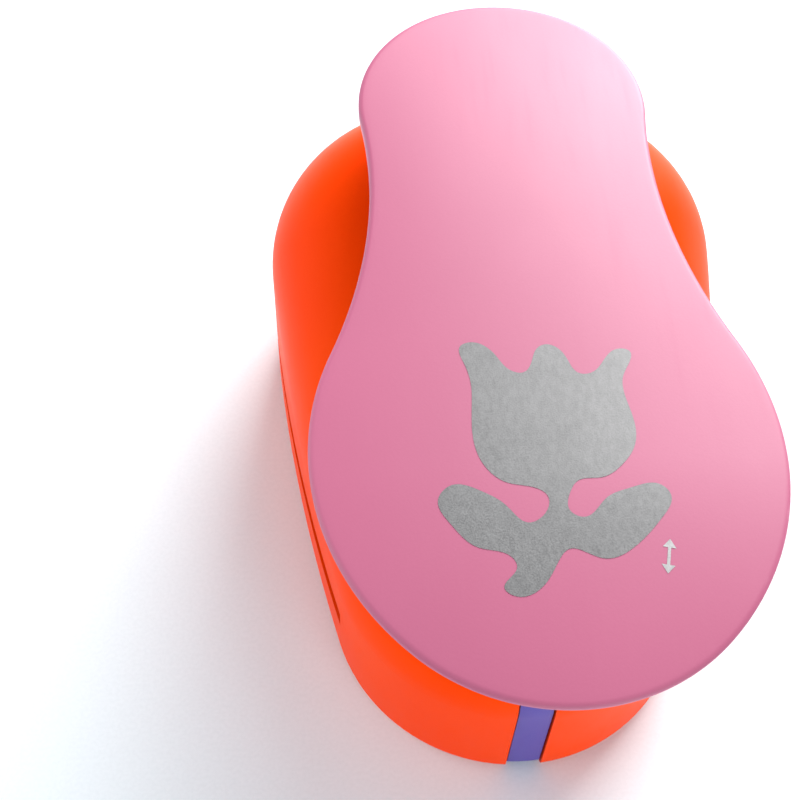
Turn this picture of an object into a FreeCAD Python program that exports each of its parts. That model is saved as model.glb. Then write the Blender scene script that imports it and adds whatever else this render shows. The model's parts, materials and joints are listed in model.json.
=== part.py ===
import FreeCAD, Part
import math
import os
from types import SimpleNamespace

import Sketcher

# Lever-type craft punch for paper, tulip die. Millimetres, +Z up. The origin is the middle of the
# space that the punch stands in: X is its width, -Y the heel, where the wide end of the lever
# hangs over, and +Y the far end, where the paper goes in and the lever is hinged.

DIMENSIONS = [
    # casing
    ("body_height", 60.0, "height that the sloped top reaches at the far end"),
    ("far_end", 65.0, "far end of the casing from the origin"),
    ("end_radius", 160.0, "plan radius of the nearly flat far end"),
    ("corner_radius", 30.0, "plan radius of the far corners"),
    ("corner_x", 10.2, "centre of a far corner's arc from the middle plane"),
    ("flank_radius", 350.0, "plan radius of the long sides"),
    ("heel_radius", 31.5, "plan radius of the heel end"),
    ("heel_centre", 19.0, "distance of the heel arc's centre from the origin"),
    ("top_slope", 8.5, "slope of the top towards the heel, degrees"),
    ("shoulder", 22.0, "radius round the top edge"),
    ("foot_round", 3.0, "radius round the bottom edge"),
    ("wall", 2.2, "casing wall"),
    ("flange", 2.4, "thickness of the inward flange that the casing stands on"),
    ("flange_inset", 8.0, "inner edge of that flange from the outside"),
    ("parting", 0.1, "half of the gap between the two shells"),
    ("strip_half", 2.75, "half width of the coloured strip on the heel"),
    ("strip_recess", 0.5, "strip below the casing surface"),
    ("strip_end", 12.0, "where the strip ends on top, towards the heel from the origin"),
    ("gap", 0.3, "clearance between fitted mouldings"),
    # window in the top for the lever
    ("window_half", 14.5, "half width of the window"),
    ("window_heel", 9.0, "window edge towards the heel"),
    ("window_far", 42.5, "window edge towards the far end"),
    # paper slot
    ("slot_bottom", 11.6, "lower edge of the slot in the casing"),
    ("slot_top", 16.0, "upper edge of the slot in the casing"),
    ("slot_depth", 27.0, "how far behind the origin the slot reaches"),
    # die stack
    ("frame_floor", 2.7, "underside of the inner frame's floor"),
    ("frame_thick", 2.5, "thickness of that floor and of its rim"),
    ("outlet_width", 44.0, "width of the chip outlet"),
    ("outlet_length", 58.0, "length of the chip outlet"),
    ("die_bottom", 8.0, "underside of the die plate"),
    ("die_thick", 5.0, "thickness of the die plate"),
    ("paper_gap", 1.6, "gap that the paper slides in"),
    ("guide_thick", 6.0, "thickness of the guide block"),
    ("stack_inset", 3.6, "edge of the die stack from the casing's outside"),
    ("stack_heel", 43.0, "heel end of the die stack"),
    ("stack_far", 50.0, "far end of the die stack"),
    ("spacer_far", 34.0, "paper stop, towards the heel from the origin"),
    ("running", 0.06, "radial running clearance"),
    # guide posts and springs
    ("post_radius", 2.25, "radius of a guide post"),
    ("post_top", 37.5, "top of a guide post"),
    ("post_seat", 16.0, "foot of a guide post in the guide block"),
    ("far_post_x", 24.5, "guide posts beside the tulip's head"),
    ("far_post_y", 12.0, "guide posts beside the tulip's head"),
    ("heel_post_x", 18.5, "guide posts beside the stem"),
    ("heel_post_y", 27.0, "guide posts beside the stem"),
    ("spring_radius", 3.5, "mean radius of a return spring"),
    ("spring_wire", 0.55, "radius of the spring wire"),
    ("spring_turns", 4.0, "turns of a spring"),
    # plunger
    ("holder_bottom", 31.0, "underside of the punch holder at rest"),
    ("holder_thick", 4.0, "thickness of the punch holder"),
    ("holder_inset", 8.0, "edge of the holder from the casing's outside"),
    ("holder_heel", 33.0, "heel end of the holder"),
    ("holder_far", 27.5, "far end of the holder"),
    ("punch_bottom", 15.0, "cutting edge of the punch at rest"),
    ("pusher_half", 11.0, "half width of the pusher"),
    ("pusher_length", 14.0, "length of the pusher"),
    ("pusher_height", 9.0, "height of the pusher"),
    ("wear_thick", 0.75, "thickness of the wear plate"),
    # lever
    ("lever_bottom", 66.0, "underside of the lever at rest"),
    ("lever_thick", 4.0, "thickness of the lever at its rim"),
    ("lever_half_length", 65.0, "half of the lever's length"),
    ("pad_end_radius", 31.0, "plan radius of the pad's end"),
    ("pad_side_radius", 42.0, "plan radius of the pad's sides"),
    ("pad_half_width", 34.5, "half width of the pad"),
    ("waist_radius", 84.0, "plan radius of the hollow waist"),
    ("tail_radius", 24.1, "plan radius of the narrow end"),
    ("lever_top_round", 1.8, "radius round the lever's upper edge"),
    ("lever_low_round", 1.0, "radius round the lever's lower edge"),
    ("dish_depth", 1.5, "depth of the dish in the pad"),
    ("dish_radius", 250.0, "radius of the dish's sphere"),
    ("dish_y", 27.0, "centre of the dish, towards the heel"),
    # hinge
    ("hinge_y", 36.0, "hinge axis"),
    ("hinge_z", 48.0, "hinge axis"),
    ("pin_radius", 2.0, "hinge pin"),
    ("pin_half", 17.0, "half length of the hinge pin"),
    ("ear_inner", 8.0, "inner face of a lever ear"),
    ("ear_thick", 4.0, "thickness of a lever ear"),
    ("ear_radius", 4.5, "round end of a lever ear"),
    ("bracket_inner", 12.4, "inner face of a bracket cheek"),
    ("bracket_thick", 3.0, "thickness of a bracket cheek"),
    ("bracket_half", 5.0, "half depth of the bracket and radius of its round top"),
    ("bracket_base", 2.4, "thickness of the bracket's base"),
    ("clip_radius", 3.6, "radius of a pin clip"),
    ("clip_thick", 0.8, "thickness of a pin clip"),
    ("boss_y", 2.0, "pressing boss of the lever, towards the heel"),
    ("boss_radius", 3.0, "round nose of the boss"),
    ("boss_half", 9.0, "half width of the boss"),
    # fasteners
    ("screw_play", 0.05, "radial play round a screw"),
    ("big_screw", 1.5, "shank radius of the die, base, bracket and punch screws"),
    ("big_head", 2.7, "head radius of those screws"),
    ("big_head_height", 1.8, "head height of those screws"),
    ("small_screw", 1.1, "shank radius of the shell screws"),
    ("small_head", 2.1, "head radius of the shell screws"),
    ("tower_radius", 3.2, "radius of a screw tower in the shells"),
    ("recess_play", 0.25, "play round a shell screw's head"),
    ("shell_seat", 12.0, "where a shell screw's head bears"),
    ("shell_screw_end", 7.0, "tip of a shell screw in the other shell"),
]

# Through-points of the tulip, clockwise from the tip of its left petal, stem towards -Y.
TULIP = [
    (-12.4, 25.4), (-10.4, 25.6), (-7.0, 22.6), (-4.6, 19.0), (-2.6, 18.4), (-0.6, 21.2), (0.6, 23.8),
    (2.2, 24.5), (4.0, 23.7), (5.6, 21.0), (7.4, 17.8), (9.2, 17.8), (12.0, 20.6), (15.0, 23.1),
    (16.9, 22.6), (16.2, 19.4), (14.9, 16.8), (14.7, 13.0), (15.5, 8.0), (14.9, 2.2), (12.0, -1.8),
    (8.4, -4.0), (4.4, -4.4), (2.9, -6.4), (2.4, -10.4), (4.4, -11.6), (8.6, -8.1), (13.0, -6.2),
    (18.2, -5.7), (19.6, -7.6), (17.6, -12.0), (12.4, -17.3), (6.5, -19.4), (1.4, -17.4),
    (-0.8, -19.9), (-3.6, -24.0), (-8.2, -25.5), (-9.9, -23.9), (-7.4, -20.4), (-8.2, -18.3),
    (-13.2, -16.4), (-17.4, -11.8), (-19.2, -6.6), (-16.8, -4.1), (-12.0, -5.6), (-8.0, -8.8),
    (-4.8, -12.2), (-2.2, -11.0), (-1.1, -7.0), (-3.0, -5.5), (-7.6, -4.2), (-11.0, -0.6),
    (-12.4, 5.0), (-12.0, 12.4), (-12.6, 21.0),
]


class Size:
    """A length or angle: the expression that the document works out, and its value now."""

    def __init__(self, expression, number):
        self.expression = expression
        self.number = number

    def joined(self, other, sign, number):
        return Size(f"({self.expression} {sign} {as_size(other).expression})", number)

    def __add__(self, other):
        return self.joined(other, "+", self.number + as_size(other).number)

    def __sub__(self, other):
        return self.joined(other, "-", self.number - as_size(other).number)

    def __rsub__(self, other):
        return as_size(other) - self

    def __mul__(self, other):
        return self.joined(other, "*", self.number * as_size(other).number)

    def __truediv__(self, other):
        return self.joined(other, "/", self.number / as_size(other).number)

    def __neg__(self):
        return Size(f"(-{self.expression})", -self.number)


def as_size(value):
    return value if isinstance(value, Size) else Size(f"({value:g})", float(value))


def tangent_of(angle):
    return Size(f"tan({angle.expression})", math.tan(math.radians(angle.number)))


doc = FreeCAD.newDocument("craft_punch")
sheet = doc.addObject("Spreadsheet::Sheet", "Sheet")
d = SimpleNamespace()
for row, (name, number, meaning) in enumerate(DIMENSIONS, start=1):
    sheet.set(f"A{row}", name)
    sheet.set(f"B{row}", f"{number:g}")
    sheet.set(f"C{row}", meaning)
    sheet.setAlias(f"B{row}", name)
    setattr(d, name, Size(f"Sheet.{name}", number))
doc.recompute()

NODES = []
EVERYWHERE = 80.0  # more than half of the punch in any direction


def bind(thing, name, size):
    """Ties one property to the sheet, or sets it where the size is a plain number."""
    if isinstance(size, Size):
        thing.setExpression(name, size.expression)
    else:
        setattr(thing, name, size)


def move(thing, x=0.0, y=0.0, z=0.0):
    """Puts a piece at x, y, z, each of them bound to the sheet."""
    for axis, size in zip("xyz", (x, y, z)):
        thing.setExpression(f"Placement.Base.{axis}", as_size(size).expression)


def node(thing, name):
    """Marks a document object as one finished piece and names its file."""
    thing.Label = name
    NODES.append(thing)
    return thing


# ---------------------------------------------------------------- solids and booleans


def box(name, x, y, z):
    """A block between the two limits given along each axis."""
    block = doc.addObject("Part::Box", name)
    for side, (low, high) in zip(("Length", "Width", "Height"), (x, y, z)):
        bind(block, side, as_size(high) - low)
    move(block, x[0], y[0], z[0])
    return block


def rod(name, radius, length, x, y, z, along="Z"):
    """A round bar that starts at x, y, z and runs along +Z or +X."""
    bar = doc.addObject("Part::Cylinder", name)
    bind(bar, "Radius", radius)
    bind(bar, "Height", length)
    if along == "X":
        bar.Placement.Rotation = FreeCAD.Rotation(FreeCAD.Vector(0, 1, 0), 90)
    move(bar, x, y, z)
    return bar


def cut(name, base, *tools):
    tool = tools[0] if len(tools) == 1 else fuse(name + "_tools", *tools)
    result = doc.addObject("Part::Cut", name)
    result.Base = base
    result.Tool = tool
    return result


def fuse(name, *pieces):
    result = doc.addObject("Part::MultiFuse", name)
    result.Shapes = list(pieces)
    return result


def common(name, *pieces):
    result = doc.addObject("Part::MultiCommon", name)
    result.Shapes = list(pieces)
    return result


# ---------------------------------------------------------------- sketches


def new_body(name):
    return doc.addObject("PartDesign::Body", name)


def new_sketch(body, name, plane, height=0.0):
    """A sketch on one of the body's own origin planes, raised by height along its normal."""
    sketch = body.newObject("Sketcher::SketchObject", name)
    support = next(f for f in body.Origin.OriginFeatures if f.Role == plane)
    sketch.AttachmentSupport = [(support, "")]
    sketch.MapMode = "FlatFace"
    sketch.setExpression("AttachmentOffset.Base.z", as_size(height).expression)
    return sketch


def constrain(sketch, name, size, kind, *where):
    """Adds a named constraint and binds its value to the sheet."""
    index = sketch.addConstraint(Sketcher.Constraint(kind, *where, as_size(size).number))
    sketch.renameConstraint(index, name)
    sketch.setExpression(f"Constraints.{name}", as_size(size).expression)


def add_arc(sketch, centre, radius, start, end):
    circle = Part.Circle(FreeCAD.Vector(*centre, 0), FreeCAD.Vector(0, 0, 1), radius)
    return sketch.addGeometry(Part.ArcOfCircle(circle, start, end), False)


def centre_on_axis(sketch, arc, name, height):
    """Keeps an arc's centre on the sketch's upright axis, at the height given."""
    sketch.addConstraint(Sketcher.Constraint("PointOnObject", arc, 3, -2))
    constrain(sketch, name, height, "DistanceY", -1, 1, arc, 3)


def add_polygon(sketch, corners):
    """A closed outline of straight edges, each corner tied to the sketch's origin."""
    points = [FreeCAD.Vector(as_size(x).number, as_size(y).number, 0) for x, y in corners]
    count = len(points)
    edges = [
        sketch.addGeometry(Part.LineSegment(points[i], points[(i + 1) % count]), False)
        for i in range(count)
    ]
    for i, edge in enumerate(edges):
        sketch.addConstraint(Sketcher.Constraint("Coincident", edge, 2, edges[(i + 1) % count], 1))
        constrain(sketch, f"across_{i}", corners[i][0], "DistanceX", -1, 1, edge, 1)
        constrain(sketch, f"up_{i}", corners[i][1], "DistanceY", -1, 1, edge, 1)


def add_oval(sketch, inset):
    """The casing's plan, drawn inwards by inset: heel, flanks, far corners and far end."""
    heel = (d.heel_radius - inset).number
    corner = (d.corner_radius - inset).number
    flank = (d.flank_radius - inset).number
    end = (d.end_radius - inset).number
    heel_y = -d.heel_centre.number
    end_y = (d.far_end - d.end_radius).number
    corner_x = d.corner_x.number
    corner_y = end_y + math.sqrt((end - corner) ** 2 - corner_x**2)
    reach = math.hypot(corner_x, corner_y - heel_y)
    forward = (corner_x / reach, (corner_y - heel_y) / reach)
    along = ((flank - heel) ** 2 - (flank - corner) ** 2 + reach**2) / (2 * reach)
    out = math.sqrt((flank - heel) ** 2 - along**2)
    flank_x = along * forward[0] - out * forward[1]
    flank_y = heel_y + along * forward[1] + out * forward[0]
    low = math.atan2(heel_y - flank_y, -flank_x)
    high = math.atan2(corner_y - flank_y, corner_x - flank_x)
    over = math.atan2(corner_y - end_y, corner_x)
    arcs = [
        add_arc(sketch, (0, heel_y), heel, math.pi - low, 2 * math.pi + low),
        add_arc(sketch, (flank_x, flank_y), flank, low, high),
        add_arc(sketch, (corner_x, corner_y), corner, high, over),
        add_arc(sketch, (0, end_y), end, over, math.pi - over),
        add_arc(sketch, (-corner_x, corner_y), corner, math.pi - over, math.pi - high),
        add_arc(sketch, (-flank_x, flank_y), flank, math.pi - high, math.pi - low),
    ]
    count = len(arcs)
    for i, arc in enumerate(arcs):
        sketch.addConstraint(Sketcher.Constraint("Tangent", arc, 2, arcs[(i + 1) % count], 1))
    heel_arc, right_flank, right_corner, end_arc, left_corner, left_flank = arcs
    centre_on_axis(sketch, heel_arc, "heel_centre", -d.heel_centre)
    centre_on_axis(sketch, end_arc, "end_centre", d.far_end - d.end_radius)
    constrain(sketch, "heel_arc", d.heel_radius - inset, "Radius", heel_arc)
    constrain(sketch, "end_arc", d.end_radius - inset, "Radius", end_arc)
    constrain(sketch, "flank_arc", d.flank_radius - inset, "Radius", right_flank)
    constrain(sketch, "corner_arc", d.corner_radius - inset, "Radius", right_corner)
    constrain(sketch, "right_corner_centre", d.corner_x, "DistanceX", -1, 1, right_corner, 3)
    constrain(sketch, "left_corner_centre", -d.corner_x, "DistanceX", -1, 1, left_corner, 3)
    sketch.addConstraint(Sketcher.Constraint("Equal", right_flank, left_flank))
    sketch.addConstraint(Sketcher.Constraint("Equal", right_corner, left_corner))


def add_lever_outline(sketch):
    """Pad end, pad sides, hollow waist and narrow end, all tangent arcs."""
    end = d.pad_end_radius.number
    side = d.pad_side_radius.number
    waist = d.waist_radius.number
    tail = d.tail_radius.number
    end_y = end - d.lever_half_length.number
    tail_y = d.lever_half_length.number - tail
    side_x = d.pad_half_width.number - side
    turn = math.acos(-side_x / (side - end))
    side_y = end_y + (side - end) * math.sin(turn)
    reach = math.hypot(side_x, tail_y - side_y)
    along = ((side + waist) ** 2 - (tail + waist) ** 2 + reach**2) / (2 * reach)
    out = math.sqrt((side + waist) ** 2 - along**2)
    forward = (-side_x / reach, (tail_y - side_y) / reach)
    waist_x = side_x + along * forward[0] + out * forward[1]
    waist_y = side_y + along * forward[1] - out * forward[0]
    to_waist = math.atan2(waist_y - side_y, waist_x - side_x)
    from_tail = math.atan2(waist_y - tail_y, waist_x)
    pad_end = add_arc(sketch, (0, end_y), end, math.pi + turn, 2 * math.pi - turn)
    right_side = add_arc(sketch, (side_x, side_y), side, -turn, to_waist)
    right_waist = add_arc(
        sketch, (waist_x, waist_y), waist, from_tail + math.pi, to_waist + math.pi
    )
    narrow_end = add_arc(sketch, (0, tail_y), tail, from_tail, math.pi - from_tail)
    left_waist = add_arc(sketch, (-waist_x, waist_y), waist, -to_waist, -from_tail)
    left_side = add_arc(sketch, (-side_x, side_y), side, math.pi - to_waist, math.pi + turn)
    joints = [
        (pad_end, 2, right_side, 1),
        (right_side, 2, right_waist, 2),
        (right_waist, 1, narrow_end, 1),
        (narrow_end, 2, left_waist, 2),
        (left_waist, 1, left_side, 1),
        (left_side, 2, pad_end, 1),
    ]
    for joint in joints:
        sketch.addConstraint(Sketcher.Constraint("Tangent", *joint))
    centre_on_axis(sketch, pad_end, "end_centre", d.pad_end_radius - d.lever_half_length)
    centre_on_axis(sketch, narrow_end, "tail_centre", d.lever_half_length - d.tail_radius)
    constrain(sketch, "end_arc", d.pad_end_radius, "Radius", pad_end)
    constrain(sketch, "tail_arc", d.tail_radius, "Radius", narrow_end)
    constrain(sketch, "side_arc", d.pad_side_radius, "Radius", right_side)
    constrain(sketch, "waist_arc", d.waist_radius, "Radius", right_waist)
    sketch.addConstraint(Sketcher.Constraint("Equal", right_side, left_side))
    sketch.addConstraint(Sketcher.Constraint("Equal", right_waist, left_waist))
    inwards = d.pad_half_width - d.pad_side_radius
    constrain(sketch, "right_side_centre", inwards, "DistanceX", -1, 1, right_side, 3)
    constrain(sketch, "left_side_centre", -inwards, "DistanceX", -1, 1, left_side, 3)


def add_tulip(sketch, play):
    """The tulip as one closed smooth curve, grown outwards by play."""
    curve = Part.BSplineCurve()
    curve.interpolate(Points=[FreeCAD.Vector(x, y, 0) for x, y in TULIP], PeriodicFlag=True)
    if play:
        grown = []
        for x, y in TULIP:
            point = FreeCAD.Vector(x, y, 0)
            heading = curve.tangent(curve.parameter(point))[0]
            grown.append(point + FreeCAD.Vector(-heading.y, heading.x, 0) * play)
        curve = Part.BSplineCurve()
        curve.interpolate(Points=grown, PeriodicFlag=True)
    sketch.addGeometry(curve, False)


# ---------------------------------------------------------------- PartDesign features


def add_pad(body, sketch, length, both_ways=False):
    pad = body.newObject("PartDesign::Pad", sketch.Name + "_pad")
    pad.Profile = sketch
    pad.Midplane = both_ways
    bind(pad, "Length", length)
    return pad


def add_fillet(body, base, radius, level=None, below=False):
    """Rounds every edge of the base that lies wholly above level, or wholly below it."""
    doc.recompute()
    names = []
    for index, edge in enumerate(base.Shape.Edges, start=1):
        bounds = edge.BoundBox
        inside = bounds.ZMax < level if below else bounds.ZMin > level
        if inside:
            names.append(f"Edge{index}")
    fillet = body.newObject("PartDesign::Fillet", body.Name + ("_low" if below else "_top"))
    fillet.Base = (base, names)
    bind(fillet, "Radius", radius)
    return fillet


def slab(name, outline, bottom, thickness, *details):
    """A flat piece of one thickness on the outline drawn by the function given."""
    body = new_body(name)
    sketch = new_sketch(body, name + "_plan", "XY_Plane", bottom)
    outline(sketch, *details)
    add_pad(body, sketch, thickness)
    return body


def casing_block(name, inset, bottom, foot_round=None):
    """The casing's outside drawn inwards by inset: oval, sloped top, round shoulder."""
    body = new_body(name)
    plan = new_sketch(body, name + "_plan", "XY_Plane", bottom)
    add_oval(plan, inset)
    top = d.body_height - inset
    add_pad(body, plan, top - bottom + 1)
    slope = new_sketch(body, name + "_slope", "YZ_Plane")
    fall = tangent_of(d.top_slope)
    far_level = top + (as_size(EVERYWHERE) - d.far_end) * fall
    heel_level = top - (as_size(EVERYWHERE) + d.far_end) * fall
    above = 2 * EVERYWHERE
    add_polygon(
        slope,
        [(EVERYWHERE, far_level), (EVERYWHERE, above), (-EVERYWHERE, above), (-EVERYWHERE, heel_level)],
    )
    pocket = body.newObject("PartDesign::Pocket", name + "_fall")
    pocket.Profile = slope
    pocket.Midplane = True
    bind(pocket, "Length", as_size(4 * EVERYWHERE))
    shoulder_level = d.body_height.number / 2
    rounded = add_fillet(body, pocket, d.shoulder - inset, shoulder_level)
    if foot_round is not None:
        add_fillet(body, rounded, foot_round, bottom_limit(bottom), below=True)
    return body


def bottom_limit(bottom):
    return as_size(bottom).number + 0.5


# ---------------------------------------------------------------- casing shells

DIE_TOP = d.die_bottom + d.die_thick
GUIDE_BOTTOM = DIE_TOP + d.paper_gap
GUIDE_TOP = GUIDE_BOTTOM + d.guide_thick
HOLDER_TOP = d.holder_bottom + d.holder_thick
WHOLE = (-EVERYWHERE, EVERYWHERE)

# Screw towers that join the two shells: distance along the punch and height.
TOWERS = [(-38.5, 28.5), (52.0, 27.0), (50.0, 44.0)]


def make_shells():
    outside = casing_block("casing_outside", 0.0, 0.0, d.foot_round)
    cavity = casing_block("casing_cavity", d.wall, d.flange)
    under = slab("underside_opening", add_oval, -1.0, 6.0, d.flange_inset)
    window = box(
        "lever_window",
        (-d.window_half, d.window_half),
        (-d.window_heel, d.window_far),
        (d.holder_bottom, EVERYWHERE),
    )
    slot = box("slot_cut", WHOLE, (-d.slot_depth, EVERYWHERE), (d.slot_bottom, d.slot_top))
    channel_half = d.strip_half + d.gap
    channel = box(
        "strip_channel",
        (-channel_half, channel_half),
        (-EVERYWHERE, d.gap - d.strip_end),
        (-1.0, EVERYWHERE),
    )
    wall = cut("casing_wall", outside, cavity, under, window, slot, channel)
    for side, name in ((-1, "left_shell"), (1, "right_shell")):
        inner = d.parting * side
        outer = as_size(EVERYWHERE * side)
        across = (outer, inner) if side < 0 else (inner, outer)
        half = common(name + "_wall", wall, box(name + "_half", across, WHOLE, WHOLE))
        bars = []
        holes = []
        for i, (y, z) in enumerate(TOWERS):
            start = outer if side < 0 else inner
            bars.append(rod(f"{name}_bar_{i}", d.tower_radius, EVERYWHERE, start, y, z, "X"))
            bore = d.small_screw + d.screw_play
            holes.append(rod(f"{name}_bore_{i}", bore, 24.0, -d.shell_screw_end - 1, y, z, "X"))
            if side > 0:
                recess = d.small_head + d.recess_play
                seat = rod(f"{name}_seat_{i}", recess, EVERYWHERE, d.shell_seat, y, z, "X")
                holes.append(seat)
        towers = common(name + "_towers", fuse(name + "_bars", *bars), outside)
        closed = fuse(name + "_closed", half, towers)
        node(cut(name, closed, *holes), name)


def make_shell_screws():
    screws = []
    for i, (y, z) in enumerate(TOWERS):
        length = d.shell_seat + d.shell_screw_end
        screws.append(rod(f"shell_shank_{i}", d.small_screw, length, -d.shell_screw_end, y, z, "X"))
        screws.append(rod(f"shell_head_{i}", d.small_head, 1.6, d.shell_seat, y, z, "X"))
    node(fuse("shell_screws", *screws), "shell_screws")


# ---------------------------------------------------------------- inner frame

# Screws that hold the die plate on the frame, and those that close the die stack at the heel.
BASE_SCREWS = [(-26.0, 24.0), (26.0, 24.0), (-13.0, -33.0), (13.0, -33.0)]
DIE_SCREWS = [(-12.0, -38.5), (12.0, -38.5)]


def make_inner_frame():
    fit = d.wall + d.gap
    inside = fit + d.frame_thick
    floor_top = d.frame_floor + d.frame_thick
    floor = slab("frame_floor", add_oval, d.frame_floor, d.die_bottom - d.frame_floor, fit)
    hollow = slab("frame_hollow", add_oval, floor_top, EVERYWHERE / 8, inside)
    outlet = box(
        "chip_outlet",
        (-d.outlet_width / 2, d.outlet_width / 2),
        (-d.outlet_length / 2, d.outlet_length / 2),
        (-1.0, 10.0),
    )
    standoffs = [
        rod(f"standoff_{i}", 3.4, d.die_bottom - floor_top, x, y, floor_top)
        for i, (x, y) in enumerate(BASE_SCREWS)
    ]
    tray = cut("frame_tray", floor, hollow, outlet)
    rib_outside = casing_block("rib_outside", d.strip_recess, 0.6, d.foot_round - d.strip_recess)
    spine_outside = casing_block("spine_outside", fit, d.frame_floor)
    spine_inside = casing_block("spine_inside", inside, 0.0)
    rib_slab = box(
        "rib_slab", (-d.strip_half, d.strip_half), (-EVERYWHERE, -d.strip_end), WHOLE
    )
    spine_slab = box("spine_slab", (-9.0, 9.0), (-EVERYWHERE, -32.0), WHOLE)
    rib = common("rib", rib_outside, rib_slab)
    spine = common("spine_plate", spine_outside, spine_slab)
    upright = cut("spine", fuse("spine_solid", rib, spine), spine_inside)
    whole = fuse("frame_solid", tray, upright, *standoffs)
    play = d.big_screw + d.screw_play
    holes = [rod(f"frame_hole_{i}", play, 12.0, x, y, 0.0) for i, (x, y) in enumerate(BASE_SCREWS)]
    node(cut("inner_frame", whole, *holes), "inner_frame")


def screw_group(name, places, tip, head_bottom, head_up=True):
    """Pan-head screws that stand upright: head above the shank, or below it."""
    solids = []
    for i, (x, y) in enumerate(places):
        if head_up:
            shank = rod(f"{name}_shank_{i}", d.big_screw, head_bottom - tip, x, y, tip)
            head = rod(f"{name}_head_{i}", d.big_head, d.big_head_height, x, y, head_bottom)
        else:
            shank = rod(f"{name}_shank_{i}", d.big_screw, tip - head_bottom, x, y, head_bottom)
            base = head_bottom - d.big_head_height
            head = rod(f"{name}_head_{i}", d.big_head, d.big_head_height, x, y, base)
        solids += [shank, head]
    node(fuse(name, *solids), name)


# ---------------------------------------------------------------- die stack


def make_die_stack():
    along = (-d.stack_heel, d.stack_far)
    play = d.big_screw + d.screw_play
    die_oval = slab("die_oval", add_oval, d.die_bottom, d.die_thick, d.stack_inset)
    die_hole = slab("die_hole", add_tulip, 0.0, 20.0, d.running.number)
    die_blank = common("die_blank", die_oval, box("die_trim", WHOLE, along, WHOLE))
    die_bores = [
        rod(f"die_bore_{i}", play, 20.0, x, y, 0.0)
        for i, (x, y) in enumerate(BASE_SCREWS + DIE_SCREWS)
    ]
    node(cut("die_plate", die_blank, die_hole, *die_bores), "die_plate")

    spacer_oval = slab("spacer_oval", add_oval, DIE_TOP, d.paper_gap, d.stack_inset)
    spacer_trim = box("spacer_trim", WHOLE, (-d.stack_heel, -d.spacer_far), WHOLE)
    spacer = common("spacer_blank", spacer_oval, spacer_trim)
    spacer_bores = [
        rod(f"spacer_bore_{i}", play, 10.0, x, y, d.die_bottom) for i, (x, y) in enumerate(DIE_SCREWS)
    ]
    node(cut("gap_spacer", spacer, *spacer_bores), "gap_spacer")

    guide_oval = slab("guide_oval", add_oval, GUIDE_BOTTOM, d.guide_thick, d.stack_inset)
    guide_hole = slab("guide_hole", add_tulip, DIE_TOP, 20.0, d.running.number)
    guide_blank = common("guide_blank", guide_oval, box("guide_trim", WHOLE, along, WHOLE))
    guide_bores = [
        rod(f"guide_bore_{i}", play, 20.0, x, y, DIE_TOP)
        for i, (x, y) in enumerate(DIE_SCREWS + BRACKET_SCREWS)
    ]
    post_bores = [
        rod(f"post_bore_{i}", d.post_radius, 20.0, x, y, d.post_seat)
        for i, (x, y) in enumerate(POSTS.values())
    ]
    node(cut("guide_block", guide_blank, guide_hole, *guide_bores, *post_bores), "guide_block")


POSTS = {
    "far_left": (-d.far_post_x, d.far_post_y),
    "far_right": (d.far_post_x, d.far_post_y),
    "heel_left": (-d.heel_post_x, -d.heel_post_y),
    "heel_right": (d.heel_post_x, -d.heel_post_y),
}
BRACKET_SCREWS = [(-6.0, 36.0), (6.0, 36.0)]
PUNCH_SCREWS = [(1.5, 14.0), (0.0, -14.8)]


def make_guide_post(place, x, y):
    """A ground steel post, chamfered at the top, pressed into the guide block."""
    body = new_body(f"guide_post_{place}")
    sketch = new_sketch(body, f"post_circle_{place}", "XY_Plane", d.post_seat)
    circle = Part.Circle(FreeCAD.Vector(0, 0, 0), FreeCAD.Vector(0, 0, 1), d.post_radius.number)
    ring = sketch.addGeometry(circle, False)
    sketch.addConstraint(Sketcher.Constraint("Coincident", ring, 3, -1, 1))
    constrain(sketch, "radius", d.post_radius, "Radius", ring)
    pad = add_pad(body, sketch, d.post_top - d.post_seat)
    doc.recompute()
    top = [
        f"Edge{i}"
        for i, edge in enumerate(pad.Shape.Edges, start=1)
        if edge.BoundBox.ZMin > d.post_top.number - 0.1
    ]
    chamfer = body.newObject("PartDesign::Chamfer", f"post_chamfer_{place}")
    chamfer.Base = (pad, top)
    chamfer.Size = 0.5
    move(body, x, y)
    node(body, f"guide_post_{place}")


def make_return_spring(place, x, y):
    """A coil of round wire between the guide block and the punch holder."""
    body = new_body(f"return_spring_{place}")
    sketch = new_sketch(body, f"spring_wire_{place}", "XZ_Plane")
    start = GUIDE_TOP + d.spring_wire + 0.05
    height = d.holder_bottom - GUIDE_TOP - d.spring_wire * 2 - 0.1
    centre = FreeCAD.Vector(d.spring_radius.number, start.number, 0)
    circle = Part.Circle(centre, FreeCAD.Vector(0, 0, 1), d.spring_wire.number)
    ring = sketch.addGeometry(circle, False)
    constrain(sketch, "radius", d.spring_wire, "Radius", ring)
    constrain(sketch, "across", d.spring_radius, "DistanceX", -1, 1, ring, 3)
    constrain(sketch, "up", start, "DistanceY", -1, 1, ring, 3)
    coil = body.newObject("PartDesign::AdditiveHelix", f"spring_coil_{place}")
    coil.Profile = sketch
    coil.ReferenceAxis = (sketch, ["V_Axis"])
    coil.Mode = 1
    bind(coil, "Height", height)
    bind(coil, "Turns", d.spring_turns)
    coil.Pitch = height.number / d.spring_turns.number
    move(body, x, y)
    node(body, f"return_spring_{place}")


# ---------------------------------------------------------------- plunger


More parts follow.
